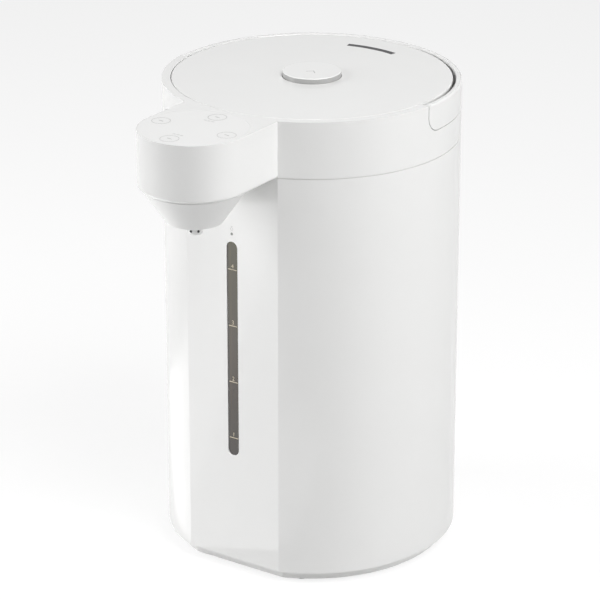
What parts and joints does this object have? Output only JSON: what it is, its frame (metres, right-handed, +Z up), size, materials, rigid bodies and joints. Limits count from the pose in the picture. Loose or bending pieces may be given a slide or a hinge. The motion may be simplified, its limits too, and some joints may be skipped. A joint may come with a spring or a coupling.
{
  "type": "electric thermo pot",
  "caption": "Tall round electric hot-water dispenser with a flat front window, forward spout housing, hinged lid, push button and a fold-down carrying handle.",
  "frame": {"origin": "on the pot's upright axis, on the surface it stands on", "axes": "+Z up, -Y towards the spout and the flat front, X across the handle's pins"},
  "size_m": [0.206, 0.278, 0.3426],
  "materials": {
    "white_plastic": "glossy white moulded ABS",
    "white_metal": "satin white coated sheet steel",
    "grey_plastic": "fine textured grey",
    "dark_plastic": "dark moulded",
    "smoked_lens": "smoked clear plastic",
    "clear_glass": "clear borosilicate tube",
    "indicator": "translucent amber",
    "stainless": "brushed stainless steel",
    "spring_steel": "bright spring wire",
    "zinc_steel": "zinc plated",
    "aluminium": "die cast",
    "brass": "plain",
    "silicone": "translucent silicone",
    "rubber": "black rubber",
    "felt": "needled mineral felt",
    "circuit_board": "green solder mask"
  },
  "bodies": {
    "pot": {"outer_shell": "white_metal", "front_panel": "white_plastic", "window_lens": "smoked_lens", "indicator_lens": "indicator", "top_collar": "white_plastic", "touch_panel": "white_plastic", "touch_board": "circuit_board", "spout_cover": "white_plastic", "spout_nozzle": "grey_plastic", "spout_hose": "silicone", "sight_tube": "clear_glass", "riser_hose": "silicone", "inner_pot": "stainless", "pot_insulation": "felt", "heater_plate": "aluminium", "heater_element": "stainless", "heater_clamp": "zinc_steel", "support_pillars": "zinc_steel", "thermostats": "dark_plastic", "temperature_sensor": "brass", "pump_motor": "zinc_steel", "pump_housing": "grey_plastic", "pump_cover": "grey_plastic", "suction_hose": "silicone", "pot_outlet": "stainless", "outlet_strainer": "stainless", "lower_frame": "grey_plastic", "base_plate": "white_plastic", "rubber_feet": "rubber", "base_screws": "zinc_steel", "main_board": "circuit_board", "board_components": "dark_plastic", "power_inlet": "dark_plastic", "inlet_contacts": "brass", "handle_pivot_pins": "zinc_steel"},
    "lid": {"lid_cover": "white_plastic", "lid_hinge_pin": "zinc_steel", "lid_liner": "grey_plastic", "lid_inner_plate": "stainless", "lid_gasket": "silicone", "steam_duct": "grey_plastic", "lid_screws": "zinc_steel", "button_spring": "spring_steel", "latch_spring": "spring_steel"},
    "button": {"lid_button": "white_plastic"},
    "latch": {"latch_bolt": "grey_plastic"},
    "handle": {"carry_handle": "white_plastic"},
    "magnet": {"drive_magnet": "dark_plastic"},
    "impeller": {"pump_impeller": "grey_plastic"}
  },
  "joints": [
    {"name": "lid_hinge", "type": "hinge", "parent": "pot", "child": "lid", "pos_m": [0, 0.091, 0.3368], "axis": [-1, 0, 0], "range_deg": [0, 78]},
    {"name": "button_press", "type": "slide", "parent": "lid", "child": "button", "axis": [0, 0, -1], "range_m": [0, 0.003], "stiffness_N_per_m": 300, "springref_m": -0.001, "deforming": ["button_spring"]},
    {"name": "latch_slide", "type": "slide", "parent": "lid", "child": "latch", "axis": [0, 1, 0], "range_m": [0, 0.003], "deforming": ["latch_spring"]},
    {"name": "handle_swing", "type": "hinge", "parent": "pot", "child": "handle", "pos_m": [0, 0, 0.3322], "axis": [1, 0, 0], "range_deg": [0, 90]},
    {"name": "magnet_spin", "type": "hinge", "parent": "pot", "child": "magnet", "pos_m": [-0.013, -0.062, 0.03], "axis": [0, 0, 1], "continuous": true},
    {"name": "impeller_spin", "type": "hinge", "parent": "pot", "child": "impeller", "pos_m": [-0.013, -0.062, 0.037], "axis": [0, 0, 1], "continuous": true}
  ],
  "couplings": [
    {"joint": "latch_slide", "follows": "button_press", "ratio": 1},
    {"joint": "impeller_spin", "follows": "magnet_spin", "ratio": 1}
  ]
}
